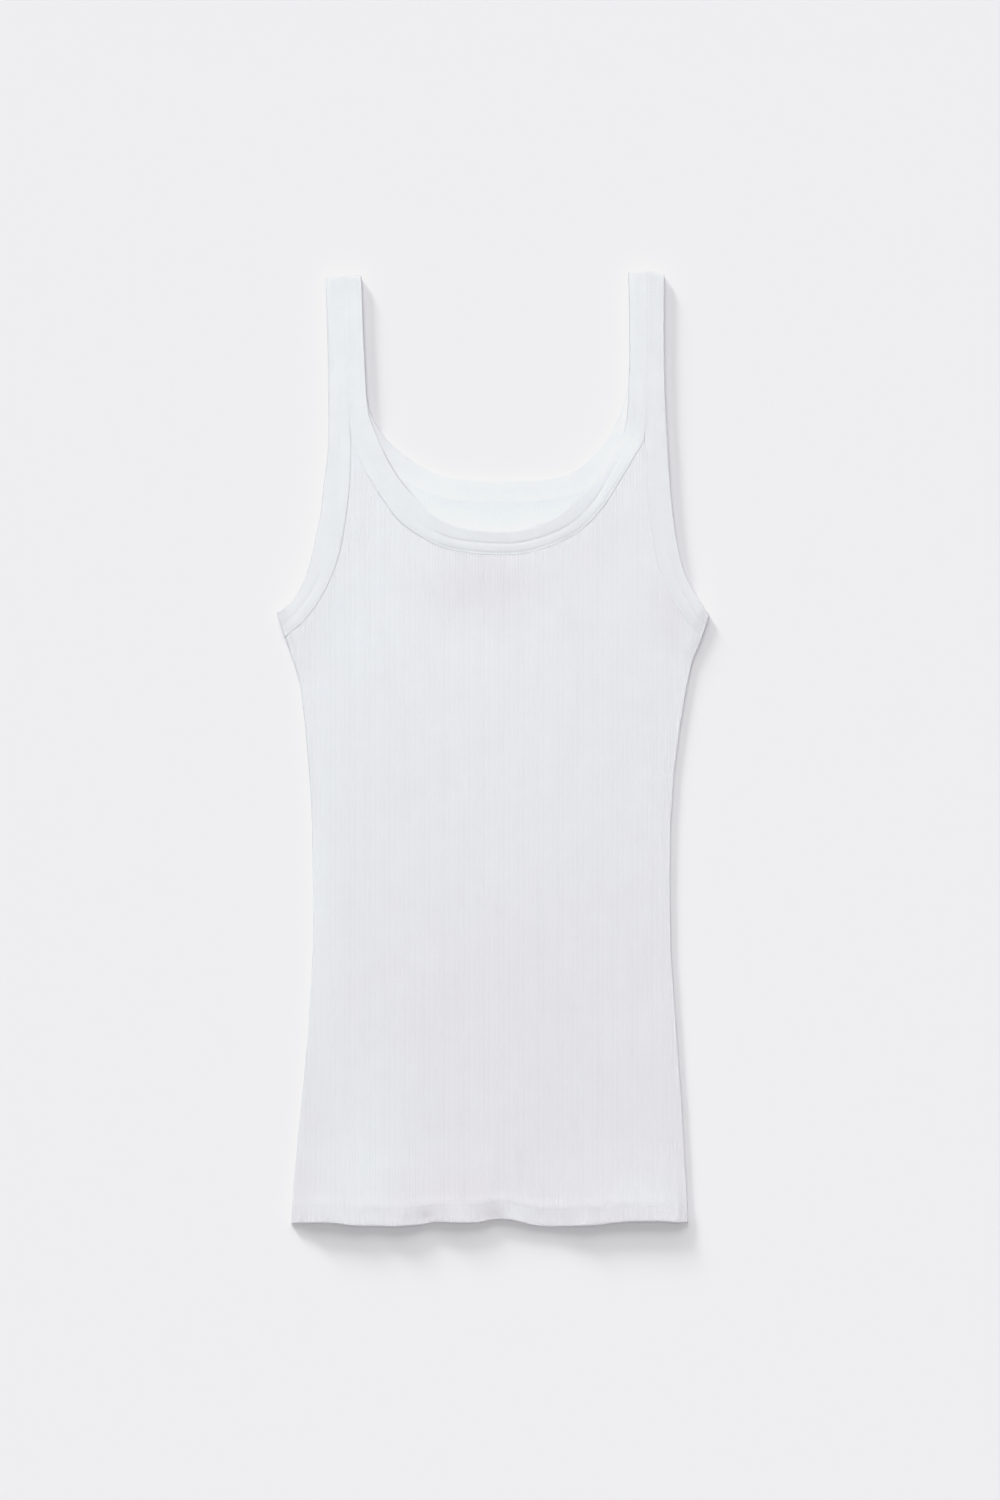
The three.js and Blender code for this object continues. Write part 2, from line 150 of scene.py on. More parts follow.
def seam_line(rows, keep, samples=LINE_SAMPLES):
    """A binding's seam: a smooth line through its rows, kept on its own side of the straps' centre lines
    by taking the smaller (neck) or larger (armhole) of the two distances from the middle, and drawn on to
    them where the panel ends."""
    line = smooth_line(rows[:, 2:], samples)
    centres = STRAP_CENTRES[::-1]
    left = -np.interp(line[:, 1], centres[:, 0], centres[:, 1])
    right = np.interp(line[:, 1], centres[:, 0], centres[:, 2])
    limit = np.where(line[:, 0] < 0, left, right)
    kept = keep(np.abs(line[:, 0]), limit)
    kept += (limit - kept) * ease(*SEAMS_MEET, line[:, 1])
    line[:, 0] = np.where(line[:, 1] > centres[0, 0], np.sign(line[:, 0]) * kept, line[:, 0])
    return line


def eased_between(x, rows, column):
    """A table's column at x, with a smooth step between each two of its rows."""
    i = np.clip(np.searchsorted(rows[:, 0], x) - 1, 0, len(rows) - 2)
    share = ease(rows[i, 0], rows[i + 1, 0], x)
    return rows[i, column] * (1 - share) + rows[i + 1, column] * share


def side_lines(y):
    """x of the left and right side seams at y, a little inside the outline."""
    side = SIDES[::-1]
    left, right = (np.interp(y, side[:, 0], side[:, column]) for column in (1, 2))
    return left + GAP / 2, right - GAP / 2


def panel_plan(neck_seam):
    """x and y of a panel's grid, and the distance to the nearer side seam. Columns stand upright, a
    quarter of a rib apart, from the hem to the seams above; rows follow the hem below and the seams above.
    Past a side seam, a row's points all lie where the row meets it."""
    tips = [STRAP_CENTRES[3, 1], STRAP_CENTRES[3, 2]]
    left = seam_line(LEFT_ARMHOLE, np.maximum)[::-1]
    right = seam_line(RIGHT_ARMHOLE, np.maximum)
    top = np.vstack([
        left[(left[:, 0] < tips[0] - TIP_GAP) & (left[:, 1] < TIP_TOP)],
        neck_seam[(neck_seam[:, 0] > tips[0] + TIP_GAP) & (neck_seam[:, 0] < tips[1] - TIP_GAP)],
        right[(right[:, 0] > tips[1] + TIP_GAP) & (right[:, 1] < TIP_TOP)],
    ])
    top[:, 0] = np.maximum.accumulate(top[:, 0])
    rising_x = top[:, 0] + np.arange(len(top)) * 1e-6
    top[:, 1] -= PANEL_DRAW * np.hypot(1, np.clip(np.gradient(top[:, 1], rising_x), -6, 6))
    hem = smooth_line(HEM[:, :2], LINE_SAMPLES)
    x = np.arange(-HALF_COLUMNS, HALF_COLUMNS + 1) * RIB / COLUMNS_PER_RIB
    foot = np.interp(x, hem[:, 0], hem[:, 1])
    head = np.interp(x, top[:, 0], top[:, 1])
    spare = PANEL_ROWS - len(HEM_ROWS) - len(SEAM_ROWS) + 1
    lower = int(spare * LOWER_SHARE)
    rise = np.linspace(0, 1, lower + 1)[1:, None]
    climb = np.linspace(0, 1, spare - lower + 1)[1:-1, None]
    start, end = foot + HEM_ROWS[-1], head - SEAM_ROWS[0]
    y = np.vstack([
        foot + HEM_ROWS[:, None],
        start + (LEVEL_LINE - start) * rise,
        LEVEL_LINE + (end - LEVEL_LINE) * climb,
        head - SEAM_ROWS[:, None],
    ])
    left, right = side_lines(y)
    kept = (x > left) & (x < right)
    first, last = kept.argmax(axis=1)[:, None], len(x) - 1 - kept[:, ::-1].argmax(axis=1)[:, None]
    y = np.take_along_axis(y, np.clip(np.arange(len(x)), first, last), axis=1)
    left, right = side_lines(y)
    x = np.clip(x, left, right)
    return x, y, np.minimum(x - left, right - x)


def ribs(x):
    """The ribs' height: upright columns, round crests and narrow valleys, the cosine of x to a power."""
    return RIB_HEIGHT * np.abs(np.cos(np.pi * x / RIB)) ** RIB_POWER


def rounded(distance, radius):
    """A quarter circle: 0 at an edge, 1 at `radius` from it."""
    t = np.clip(distance / radius, 0, 1)
    return np.sqrt(1 - (1 - t) ** 2)


def new_object(name, mesh, material):
    piece = bpy.data.objects.new(name, mesh)
    bpy.context.scene.collection.objects.link(piece)
    mesh.materials.append(material)
    mesh.shade_smooth()
    return piece


def face_outward(mesh, merge=0.0):
    """Turns all faces outward, and merges the points that lie within `merge` millimetres of each other."""
    shell = bmesh.new()
    shell.from_mesh(mesh)
    if merge:
        bmesh.ops.remove_doubles(shell, verts=shell.verts, dist=merge * MM)
        bmesh.ops.dissolve_degenerate(shell, edges=shell.edges, dist=merge / 2 * MM)
    bmesh.ops.recalc_face_normals(shell, faces=shell.faces)
    shell.to_mesh(mesh)
    shell.free()


def tucked(x, to_side):
    """x of the inner face, drawn in at a side seam so that its longer chords stay within the outline."""
    return x - SIDE_TUCK * np.sign(x) * (1 - np.clip(to_side / (5 * SIDE_TUCK), 0, 1))


def cloth_panel(name, outside, inside, tone, across_step, along_step, material):
    """A ply of cloth as one closed mesh: a fine grid for the outer face, every few of its rows and columns
    for the inner face, and rim faces that join them. Points that lie on one another are merged. `tone` is
    kept on the points and carries painted light and shade: 1 where the white is painted lighter, 0 where
    it is painted greyer, and less than 0 in painted shade."""
    rows, columns = outside.shape[:2]
    fine = np.arange(rows * columns).reshape(rows, columns)
    picked = inside[::along_step, ::across_step]
    coarse = rows * columns + np.arange(picked.shape[0] * picked.shape[1]).reshape(picked.shape[:2])

    def quads(grid):
        return np.stack([grid[:-1, :-1], grid[:-1, 1:], grid[1:, 1:], grid[1:, :-1]], -1).reshape(-1, 4)

    def rim(fine_edge, coarse_edge, step):
        steps = fine_edge[np.arange(len(coarse_edge) - 1)[:, None] * step + np.arange(step + 1)]
        near = np.where(np.arange(step) < step // 2, coarse_edge[:-1, None], coarse_edge[1:, None])
        fans = np.stack([near, steps[:, :-1], steps[:, 1:]], -1).reshape(-1, 3)
        between = np.stack([coarse_edge[:-1], steps[:, step // 2], coarse_edge[1:]], -1)
        return fans.tolist() + between.tolist()

    faces = quads(fine).tolist() + quads(coarse)[:, ::-1].tolist()
    faces += rim(fine[0], coarse[0], across_step) + rim(fine[-1], coarse[-1], across_step)
    faces += rim(fine[:, 0], coarse[:, 0], along_step) + rim(fine[:, -1], coarse[:, -1], along_step)
    mesh = bpy.data.meshes.new(name)
    points = np.vstack([outside.reshape(-1, 3), picked.reshape(-1, 3)]) * MM
    mesh.from_pydata(points.tolist(), [], faces)
    tones = np.concatenate([tone.ravel(), tone[::along_step, ::across_step].ravel()])
    mesh.attributes.new("tone", "FLOAT", "POINT").data.foreach_set("value", tones.astype(np.float32))
    face_outward(mesh, MERGE)
    return new_object(name, mesh, material)


class Wire:
    """An output of a material's nodes that takes part in arithmetic: each operator adds a Math node."""

    def __init__(self, tree, socket=None):
        self.tree = tree
        self.socket = socket

    def node(self, kind, inputs, out=0, **settings):
        """Adds a node: its settings are set first, then its inputs, each a value or a wire."""
        made = self.tree.nodes.new(kind)
        for setting, value in settings.items():
            setattr(made, setting, value)
        for key, value in inputs.items():
            if isinstance(value, Wire):
                self.tree.links.new(value.socket, made.inputs[key])
            else:
                made.inputs[key].default_value = value
        return Wire(self.tree, made.outputs[out] if len(made.outputs) else None)

    def math(self, operation, first, second=0.0):
        return self.node("ShaderNodeMath", {0: first, 1: second}, operation=operation)

    def __add__(self, other):
        return self.math("ADD", self, other)

    def __sub__(self, other):
        return self.math("SUBTRACT", self, other)

    def __rsub__(self, other):
        return self.math("SUBTRACT", other, self)

    def __mul__(self, other):
        return self.math("MULTIPLY", self, other)

    __radd__ = __add__
    __rmul__ = __mul__


KNIT_LEAN = 1.1
KNIT_ROUGHNESS = 0.92
KNIT_GLOSS = 0.25
SHEEN = 0.12
MOTTLING = 0.8
FUZZ_MOTTLING = 0.3


def knit_material(name, colour, shade, stitch_across, stitch_along, coordinates, depth, toned=False):
    """White cotton knit: a soft sheen, faint mottling between colour and shade, and rows of V-shaped
    stitches as bump, a sine along the wale that is bent forward and back across it. A toned knit leans
    towards its colour or its shade by the tone on the mesh's points, and the others stay half way."""
    material = bpy.data.materials.new(name)
    material.use_nodes = True
    tree = material.node_tree
    tree.nodes.clear()
    start = Wire(tree)
    if coordinates == "Object":
        place = start.node("ShaderNodeTexCoord", {}, out="Object")
    else:
        place = start.node("ShaderNodeUVMap", {}, uv_map=coordinates)
    split = {axis: start.node("ShaderNodeSeparateXYZ", {0: place}, out=axis) for axis in ("X", "Y")}
    wale = (split["X"] * (1 / stitch_across)).math("FRACT", split["X"] * (1 / stitch_across) + 0.5)
    lean = start.math("ABSOLUTE", wale - 0.5)
    turn = start.math("SINE", (split["Y"] * (1 / stitch_along) + lean * KNIT_LEAN) * (2 * np.pi))
    cell = start.math("COSINE", (wale - 0.5) * (4 * np.pi))
    fuzz = start.node("ShaderNodeTexNoise", {"Vector": place, "Scale": 1400.0, "Detail": 3.0})
    cloudy = {"Vector": place, "Scale": 46.0, "Detail": 4.0, "Roughness": 0.6}
    mottle = start.node("ShaderNodeTexNoise", cloudy)
    height = turn * 0.5 + cell * -0.3 + fuzz * 0.7
    bump = start.node("ShaderNodeBump", {"Height": height, "Strength": 0.7, "Distance": depth})
    tone = (mottle - 0.5) * MOTTLING + (fuzz - 0.5) * FUZZ_MOTTLING
    # The tone on the mesh's points carries painted light and shade, which lean the knit to its colour or
    # its shade.
    if toned:
        tone = tone + start.node("ShaderNodeAttribute", {}, out="Fac", attribute_name="tone")
    else:
        tone = tone + 0.5
    ends = {0: tone, 6: (*shade, 1), 7: (*colour, 1)}
    mixed = start.node("ShaderNodeMix", ends, out=2, data_type="RGBA", clamp_factor=False)
    shader = tree.nodes.new("ShaderNodeBsdfPrincipled")
    shader.inputs["Roughness"].default_value = KNIT_ROUGHNESS
    shader.inputs["Specular IOR Level"].default_value = KNIT_GLOSS
    shader.inputs["Sheen Weight"].default_value = SHEEN
    shader.inputs["Sheen Roughness"].default_value = 0.5
    tree.links.new(mixed.socket, shader.inputs["Base Color"])
    tree.links.new(bump.socket, shader.inputs["Normal"])
    output = tree.nodes.new("ShaderNodeOutputMaterial")
    tree.links.new(shader.outputs[0], output.inputs["Surface"])
    return material


COURSE = 0.95
KNIT_DEPTH = 0.08
inside_knit = knit_material(
    "inside_knit", (0.818, 0.818, 0.85), (0.755, 0.748, 0.785),
    RIB * MM, COURSE * MM, "Object", KNIT_DEPTH * MM, toned=True,
)
x, y, to_side = panel_plan(seam_line(NECK_BACK, np.minimum))
lower = SURFACE_GAP + (RIB_HEIGHT - ribs(x)) * BACK_UNDER_RIBS
upper = CLOTH - BACK_VALLEYS + ribs(x) * BACK_UPPER_RIBS
# Painted shade: the inside is painted darker towards both straps, in the shade beside them.
back_tone_with_painted_shade = 0.82 - 0.3 * ease(-20, -58, x) - 0.2 * ease(30, 68, x)
back_cloth = cloth_panel(
    "back_cloth", np.dstack([x, y, upper]), np.dstack([tucked(x, to_side), y, lower]), back_tone_with_painted_shade, 2, 3,
    inside_knit,
)
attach(back_cloth, "root")
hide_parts("back_panel")

# THE FRONT
# The front panel: the same rib, its ribs straight down from the neck, with the low scooped neckline. It
# lies on the back, rises to its bindings, and its turned and stitched hem stands off the back in waves.
DOME_HEIGHT = 1.0
DOME_HALF_WIDTH = 125.0
ARMHOLE_RISE = 1.5
NECK_RISE = 0.8
RISE_REACH = 26.0
HEM_REACH = 45.0
SIDE_REACH = 7.0
PLY_GAP = 0.02
RIM_SHARE = 0.45
RIM_RADIUS = 1.1

# Gathers beside a seam: their pitch, their height and how far they reach.
NECK_GATHERS = (7.5, 0.16, 7.0)
LEFT_GATHERS = (9.0, 0.1, 6.0)
RIGHT_GATHERS = (8.5, 0.1, 6.0)

NECK_FRONT = np.array([
    [-85.4, 304.4, -97.0, 305.0], [-83.6, 259.0, -95.5, 259.0], [-80.8, 219.0, -93.4, 219.0],
    [-76.4, 205.0, -91.4, 200.0], [-68.3, 187.5, -82.5, 179.0], [-60.6, 175.0, -72.2, 162.0],
    [-50.5, 163.0, -61.0, 147.0], [-40.0, 152.0, -47.5, 137.2], [-27.0, 145.0, -31.5, 129.4],
    [-11.0, 141.4, -12.5, 126.0], [5.0, 140.2, 5.7, 125.0], [20.0, 141.6, 22.0, 126.4],
    [34.5, 146.6, 40.0, 131.6], [48.5, 155.5, 56.5, 140.6], [62.0, 168.0, 71.0, 155.5],
    [73.5, 181.0, 83.4, 174.6], [82.0, 196.0, 91.6, 188.4], [86.0, 210.0, 97.7, 201.0],
    [87.6, 226.0, 98.9, 219.0], [88.6, 259.0, 99.9, 259.0], [88.0, 306.8, 99.6, 307.8],
])

# Low, broad rises: middle, half sizes along and across, height, and turn in degrees.
SOFT_FOLDS = np.array([
    [-38, 108, 46, 11, 0.5, -57], [54, 100, 40, 14, 0.5, 52], [-2, 88, 40, 30, -1.1, 0],
    [-92, 40, 60, 12, 0.6, 62], [96, 26, 70, 14, 0.7, -66], [-60, -240, 80, 20, 0.8, 78],
    [30, -210, 90, 16, 0.6, 86], [86, -225, 70, 14, 0.7, -82], [-10, -60, 120, 22, 0.4, 90],
])

# Painted light and shade: where the white is painted lighter or darker, for the soft shading across the
# body, the shade under the neck and beside its seam, and the shade in the hem's dimples: the same columns,
# with the change of tone for the height.
PAINTED_LIGHT_AND_SHADE = np.array([
    [-4, 106, 34, 24, -0.85, 0], [62, 128, 34, 12, -0.5, 45], [-82, -262, 60, 26, 0.8, 84],
    [-88, 70, 60, 34, 0.2, 80], [116, 92, 26, 12, -0.5, 80], [104, -288, 26, 14, 0.4, 0],
    [-30, -288, 40, 12, -0.4, 0], [10, -150, 90, 50, -0.3, 20], [-112, -100, 110, 12, 0.5, 90],
    [-44.5, -302, 6, 4, -0.1, 0], [0.3, -302, 6, 4, -0.5, 0], [17, -303, 12, 6, 0.5, 0],
])

# Where the hem is drawn in or bulges between its waves, in the columns of the rises.
HEM_DIMPLES = np.array([
    [-44.5, -305.0, 5.5, 3.6, -0.7, 0], [0.3, -304.4, 5.5, 3.4, -0.8, 0],
    [-76, -302.4, 4.0, 3.0, -0.3, 0], [33, -304.2, 4.0, 3.0, -0.3, 0],
    [-58, -302.0, 5.0, 3.2, 0.25, 0], [62, -303.0, 5.0, 3.4, -0.3, 0],
])

# Stitched lines that press the hem down: their distance above its edge. Above them its ply thins.
HEM_NEEDLES = (13.2, 10.0)
HEM_DENT = 0.1
DENT_WIDTH = 0.6
HEM_STEP = 4.5
RIPPLE_HEIGHT = 0.22


def lengths(line):
    """How far along a line each of its points is."""
    return np.concatenate([[0], np.cumsum(np.linalg.norm(np.diff(line, axis=0), axis=1))])


def nearest(line, x, y):
    """The distance from each point to a line, and how far along the line the nearest place is."""
    along = lengths(line)
    even = np.arange(0, along[-1], 1.0)
    places = np.column_stack([np.interp(even, along, line[:, 0]), np.interp(even, along, line[:, 1])])
    least = np.full(x.shape, np.inf)
    where = np.zeros(x.shape)
    for row in range(x.shape[0]):
        apart = np.hypot(x[row, :, None] - places[:, 0], y[row, :, None] - places[:, 1])
        pick = apart.argmin(axis=1)
        least[row] = apart[np.arange(len(pick)), pick]
        where[row] = even[pick]
    return least, where


def soft_hills(x, y, hills):
    """The sum of hills and hollows, each a Gaussian stretched along its own direction."""
    height = np.zeros_like(x)
    for middle_x, middle_y, along, across, rise, degrees in hills:
        turn = np.radians(degrees)
        u = ((x - middle_x) * np.cos(turn) + (y - middle_y) * np.sin(turn)) / along
        v = ((y - middle_y) * np.cos(turn) - (x - middle_x) * np.sin(turn)) / across
        height += rise * np.exp(-u * u - v * v)
    return height


def puckers(distance, along, pitch, height, reach):
    """Small gathers beside a seam: a wave along it whose strength wanders, fading with the distance."""
    strength = 0.55 + 0.45 * np.sin(along / 23.0) * np.sin(along / 9.7 + 1.3)
    wave = np.sin(2 * np.pi * along / pitch + 1.4 * np.sin(along / 17.0))
    return height * strength * wave * np.exp(-distance / reach)


def hem_ripples(x, above_edge):
    """Fine ripples of the turned hem between its edge and its stitching: a wave whose pitch wanders."""
    wave = np.sin(x / 3.1 + 1.5 * np.sin(x / 11.0))
    return RIPPLE_HEIGHT * wave * np.exp(-((above_edge - 11.5) / 6.0) ** 2)


x, y, to_side = panel_plan(seam_line(NECK_FRONT, np.minimum))
to_left, along_left = nearest(seam_line(LEFT_ARMHOLE, np.maximum), x, y)
to_right, along_right = nearest(seam_line(RIGHT_ARMHOLE, np.maximum), x, y)
to_neck, along_neck = nearest(seam_line(NECK_FRONT, np.minimum), x, y)
at_armhole = 1 - ease(0, RISE_REACH, np.minimum(to_left, to_right))
at_neck = 1 - ease(0, RISE_REACH, to_neck)
hem_edge = smooth_line(HEM[:, :2], LINE_SAMPLES)
above_edge = y - np.interp(x, hem_edge[:, 0], hem_edge[:, 1])
at_hem = 1 - ease(HEM_DEPTH, HEM_DEPTH + HEM_REACH, above_edge)
middle = np.maximum(0, 1 - (x / DOME_HALF_WIDTH) ** 2)
loose = (1 - at_armhole) * (1 - at_neck) * (1 - at_hem) * middle
curl = np.clip(above_edge / HEM_DEPTH, 0, 1)
hem_lift = at_hem * (eased_between(x, HEM, 2) * (1 - curl) + eased_between(x, HEM, 3) * curl)
inside_z = CLOTH + GAP + np.maximum(ARMHOLE_RISE * at_armhole, NECK_RISE * at_neck) + hem_lift
inside_z += np.maximum(0, loose * (DOME_HEIGHT + soft_hills(x, y, SOFT_FOLDS)))
inside_z += puckers(to_neck, along_neck, *NECK_GATHERS) + puckers(to_left, along_left, *LEFT_GATHERS)
inside_z += puckers(to_right, along_right, *RIGHT_GATHERS)
inside_z += hem_ripples(x, above_edge)
inside_z += soft_hills(x, y, HEM_DIMPLES)
at_side = 1 - ease(0, SIDE_REACH, to_side)
inside_z += (CLOTH + PLY_GAP - inside_z) * at_side
ply = HEM_CLOTH + (CLOTH - HEM_CLOTH) * ease(HEM_NEEDLES[0], HEM_NEEDLES[0] + HEM_STEP, above_edge)
dents = sum(HEM_DENT * np.exp(-(((above_edge - needle) / DENT_WIDTH) ** 2)) for needle in HEM_NEEDLES)
to_rim = np.minimum(to_side, above_edge)
rim_share = RIM_SHARE + (1 - RIM_SHARE) * rounded(to_rim, RIM_RADIUS)
outside_z = inside_z + (ply + ribs(x) - dents) * rim_share
front_knit = knit_material(
    "front_knit", (0.805, 0.80, 0.832), (0.785, 0.748, 0.79),
    RIB * MM, COURSE * MM, "Object", KNIT_DEPTH * MM, toned=True,
)

# Painted light and shade on the front: the patches above, and painted light along the left side's edge,
# which faces the light.
tone = 0.5 + soft_hills(x, y, PAINTED_LIGHT_AND_SHADE)
tone += 0.9 * (1 - ease(0.2, 1.8, to_side)) * (x < 0)
front_cloth = cloth_panel(
    "front_cloth", np.dstack([x, y, outside_z]), np.dstack([tucked(x, to_side), y, inside_z]), tone, 2, 3,
    front_knit,
)
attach(front_cloth, "root")
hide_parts("front_panel")

# THE NECK BINDING
# One closed loop of folded rib strip over the raw neckline: along the front, up the inner half of each
# strap, over the shoulders and along the back. Twin needles hold it down near its seam.
FOLD_STEPS = 14
RING_SAMPLES = 16
NEEDLES = (1.3, 7.4)
NEEDLE_WIDTH = 0.62
FOLD_RADIUS = 0.8
INNER_SLOPE = 13.5
STRAP_DRAW = 0.01
PINCH = 0.05
SEAM_DROP = 0.02
WAVE_FADE = 12


def on_strap(y):
    """How far a place is up a strap, where two bindings are joined: 0 below the strap, 1 along it."""
    return ease(192, 222, y)


def layer_rings(rows, keep, inside_at, up, draw):
    """One layer of a binding as cross lines: edge and seam points on its inner face, and which way its
    outside looks. The seam is drawn in by `draw`, given for the left and for the rest, and by less where
    two bindings meet."""
    edge = smooth_line(rows[:, :2], RING_SAMPLES)
    seam = seam_line(rows, keep, RING_SAMPLES)
    width = np.linalg.norm(edge - seam, axis=1)[:, None]
    draw = np.interp(edge[:, 0], (-70, -42), draw)
    drawn = (STRAP_DRAW + (draw - STRAP_DRAW) * (1 - on_strap(edge[:, 1])))[:, None]
    seam = seam + (edge - seam) / width * drawn
    z = inside_at(edge[:, 1])[:, None]
    outward = np.tile([0.0, 0.0, up], (len(edge), 1))
    return np.hstack([edge, z]), np.hstack([seam, z]), outward


def shoulder_rings(front_edge, front_seam, back_edge, back_seam):
    """The half turn over a shoulder: the cross lines turn about X round the gap between the layers."""
    share = (np.arange(1, FOLD_STEPS) / FOLD_STEPS)[:, None]
    angle = np.pi * (0.5 - share)
    outward = np.hstack([0 * angle, np.cos(angle), np.sin(angle)])
    places = []
    for front, back in ((front_edge, back_edge), (front_seam, back_seam)):
        line = np.array([0, front[1], BINDING + GAP / 2]) + outward * (GAP / 2)
        line[:, 0] = (front[0] * (1 - share) + back[0] * share)[:, 0]
        places.append(line)
    return places[0], places[1], outward


def joined_rings(*parts):
    return tuple(np.vstack(pieces) for pieces in zip(*parts))


def turned(rings):
    return tuple(line[::-1] for line in rings)


# Across a binding, from its folded edge to its seam: shares of the width, closer at the edge and needles.
OUTER_ACROSS = np.array([
    0, 0.012, 0.035, 0.07, 0.13, 0.22, 0.32, 0.39, 0.44, 0.475, 0.5, 0.525, 0.56, 0.62, 0.7, 0.78, 0.85,
    0.885, 0.91, 0.935, 0.96, 0.98, 0.994, 1.0,
])
INNER_ACROSS = np.array([1.0, 0.994, 0.97, 0.9, 0.8, 0.66, 0.5, 0.33, 0.2, 0.12, 0.07, 0.035, 0.012])


def outer_height(from_seam, from_edge, depth, drop):
    """A binding's outer face above its inner one: a strip half round at its fold, dropping to its seam,
    and pinched along each needle line."""
    strip = BINDING * (0.5 + 0.5 * rounded(from_edge, FOLD_RADIUS))
    strip = strip * (1 - drop + drop * rounded(from_seam, FOLD_RADIUS))
    pinch = sum(np.exp(-(((from_seam - needle) / NEEDLE_WIDTH) ** 2)) for needle in NEEDLES)
    return strip - depth * pinch


def inner_height(from_seam, from_edge, sink):
    """A binding's inner face: half round at its fold, and sunk towards the ply that it holds."""
    slope = 1 - np.clip(from_seam / INNER_SLOPE, 0, 1)
    return BINDING * 0.5 * (1 - rounded(from_edge, FOLD_RADIUS)) + sink * slope


def binding_points(rings, depth, drop, sink, lift, wander, press):
    """All the points of a binding, a ring round its section at each cross line, with how far each cross
    line is along it and each point is from its folded edge. `wander` is a small wave of its height along
    the line, and `press` the share of its height that is left where it is sewn flat."""
    edge, seam, outward = rings
    span = seam - edge
    width = np.linalg.norm(span, axis=1)[:, None]
    along = lengths((edge + seam) / 2)
    across = np.concatenate([OUTER_ACROSS, INNER_ACROSS])[None, :]
    from_edge = across * width
    from_seam = width - from_edge
    height = outer_height(from_seam, from_edge, depth[:, None], drop[:, None])
    height += wander[:, None] * np.sin(np.pi * across)
    inner = inner_height(from_seam, from_edge, sink[:, None])
    height[:, len(OUTER_ACROSS):] = inner[:, len(OUTER_ACROSS):]
    height += lift[:, None] * (1 - across)
    points = edge[:, None] + span[:, None] * across[..., None] + outward[:, None] * height[..., None]
    points[..., 2] *= press[:, None]
    return points, along, from_edge


def binding_mesh(name, points, along, from_edge, tone, closed, material):
    """Joins the rings into a closed skin, capped at its ends unless it closes on itself: its UVs then run
    on past the last ring instead of back to the start."""
    count, around = points.shape[:2]
    index = np.arange(count * around).reshape(count, around)
    ahead = np.roll(index, -1, axis=0) if closed else index[1:]
    here = index if closed else index[:-1]
    faces = np.stack([here, ahead, np.roll(ahead, -1, axis=1), np.roll(here, -1, axis=1)], -1)
    faces = faces.reshape(-1, 4).tolist()
    if not closed:
        faces += [index[0].tolist(), index[-1][::-1].tolist()]
    mesh = bpy.data.meshes.new(name)
    mesh.from_pydata((points.reshape(-1, 3) * MM).tolist(), [], faces)
    place = np.dstack([from_edge, np.broadcast_to(along[:, None], from_edge.shape)]).reshape(-1, 2) * MM
    corners = np.empty(len(mesh.loops), dtype=np.int32)
    mesh.loops.foreach_get("vertex_index", corners)
    place = place[corners]
    if closed:
        back_at_start = (corners < around) & (np.arange(len(corners)) >= 4 * (count - 1) * around)
        place[back_at_start, 1] += (2 * along[-1] - along[-2]) * MM
    layer = mesh.uv_layers.new(name="strip")
    layer.data.foreach_set("uv", place.ravel())
    tones = np.broadcast_to(tone.reshape(count, -1), (count, around)).astype(np.float32)
    mesh.attributes.new("tone", "FLOAT", "POINT").data.foreach_set("value", tones.ravel())
    face_outward(mesh)
    return new_object(name, mesh, material)


def neck_inside(edge_y):
    """Height of the front neck binding's inner face: on the back's cloth, and higher up on its binding."""
    return CLOTH + GAP + (BINDING - CLOTH) * ease(148, 167, edge_y)


def level(height):
    """An inner face that stays at one height all along a binding."""
    return lambda edge_y: np.full_like(edge_y, height)


binding_knit = knit_material(
    "binding_knit", (0.86, 0.85, 0.885), (0.765, 0.742, 0.775),
    1.1 * MM, 0.9 * MM, "strip", 0.06 * MM, toned=True,
)
RIGHT_SIDE_TONE = 0.36
REVERSE_TONE = 0.95
front_layer = layer_rings(NECK_FRONT, np.minimum, neck_inside, 1.0, (-0.03, 0.05))
back_layer = turned(layer_rings(NECK_BACK, np.minimum, level(BINDING), -1.0, (-0.04, -0.04)))
right_fold = shoulder_rings(front_layer[0][-1], front_layer[1][-1], back_layer[0][0], back_layer[1][0])
left_fold = turned(
    shoulder_rings(front_layer[0][0], front_layer[1][0], back_layer[0][-1], back_layer[1][-1])
)
neck_rings = joined_rings(front_layer, right_fold, back_layer, left_fold)
on_front = neck_rings[2][:, 2] > 0.99
edge_x, edge_y = neck_rings[0][:, 0], neck_rings[0][:, 1]
low_front = on_front * (1 - ease(165, 215, edge_y))

# How deep the needles pinch it, how far it drops at its seam, how far the front's folded edge stands up,
# and how far the back's inner face is sunk over the cloth's edge.
neck_depth = PINCH + 0.4 * low_front * ease(-48, -22, edge_x)
neck_drop = SEAM_DROP + (0.08 + 0.22 * ease(-75, -45, edge_x)) * (1 - on_strap(edge_y))
neck_lift = 1.9 * low_front * ease(-62, -25, edge_x)
neck_sink = np.where(neck_rings[2][:, 2] < -0.99, 0.98 * (1 - on_strap(edge_y)), 0)
neck_press = np.ones(len(edge_x))

# A small wave of its height along the loop, which fades out before the loop closes.
order = np.arange(len(edge_x))
neck_wander = 0.08 * np.sin(order / 5.3) * np.sin(order / 13.0)
neck_wander *= np.clip((order[-1] - order) / WAVE_FADE, 0, 1)
points, along, from_edge = binding_points(
    neck_rings, neck_depth, neck_drop, neck_sink, neck_lift, neck_wander, neck_press
)
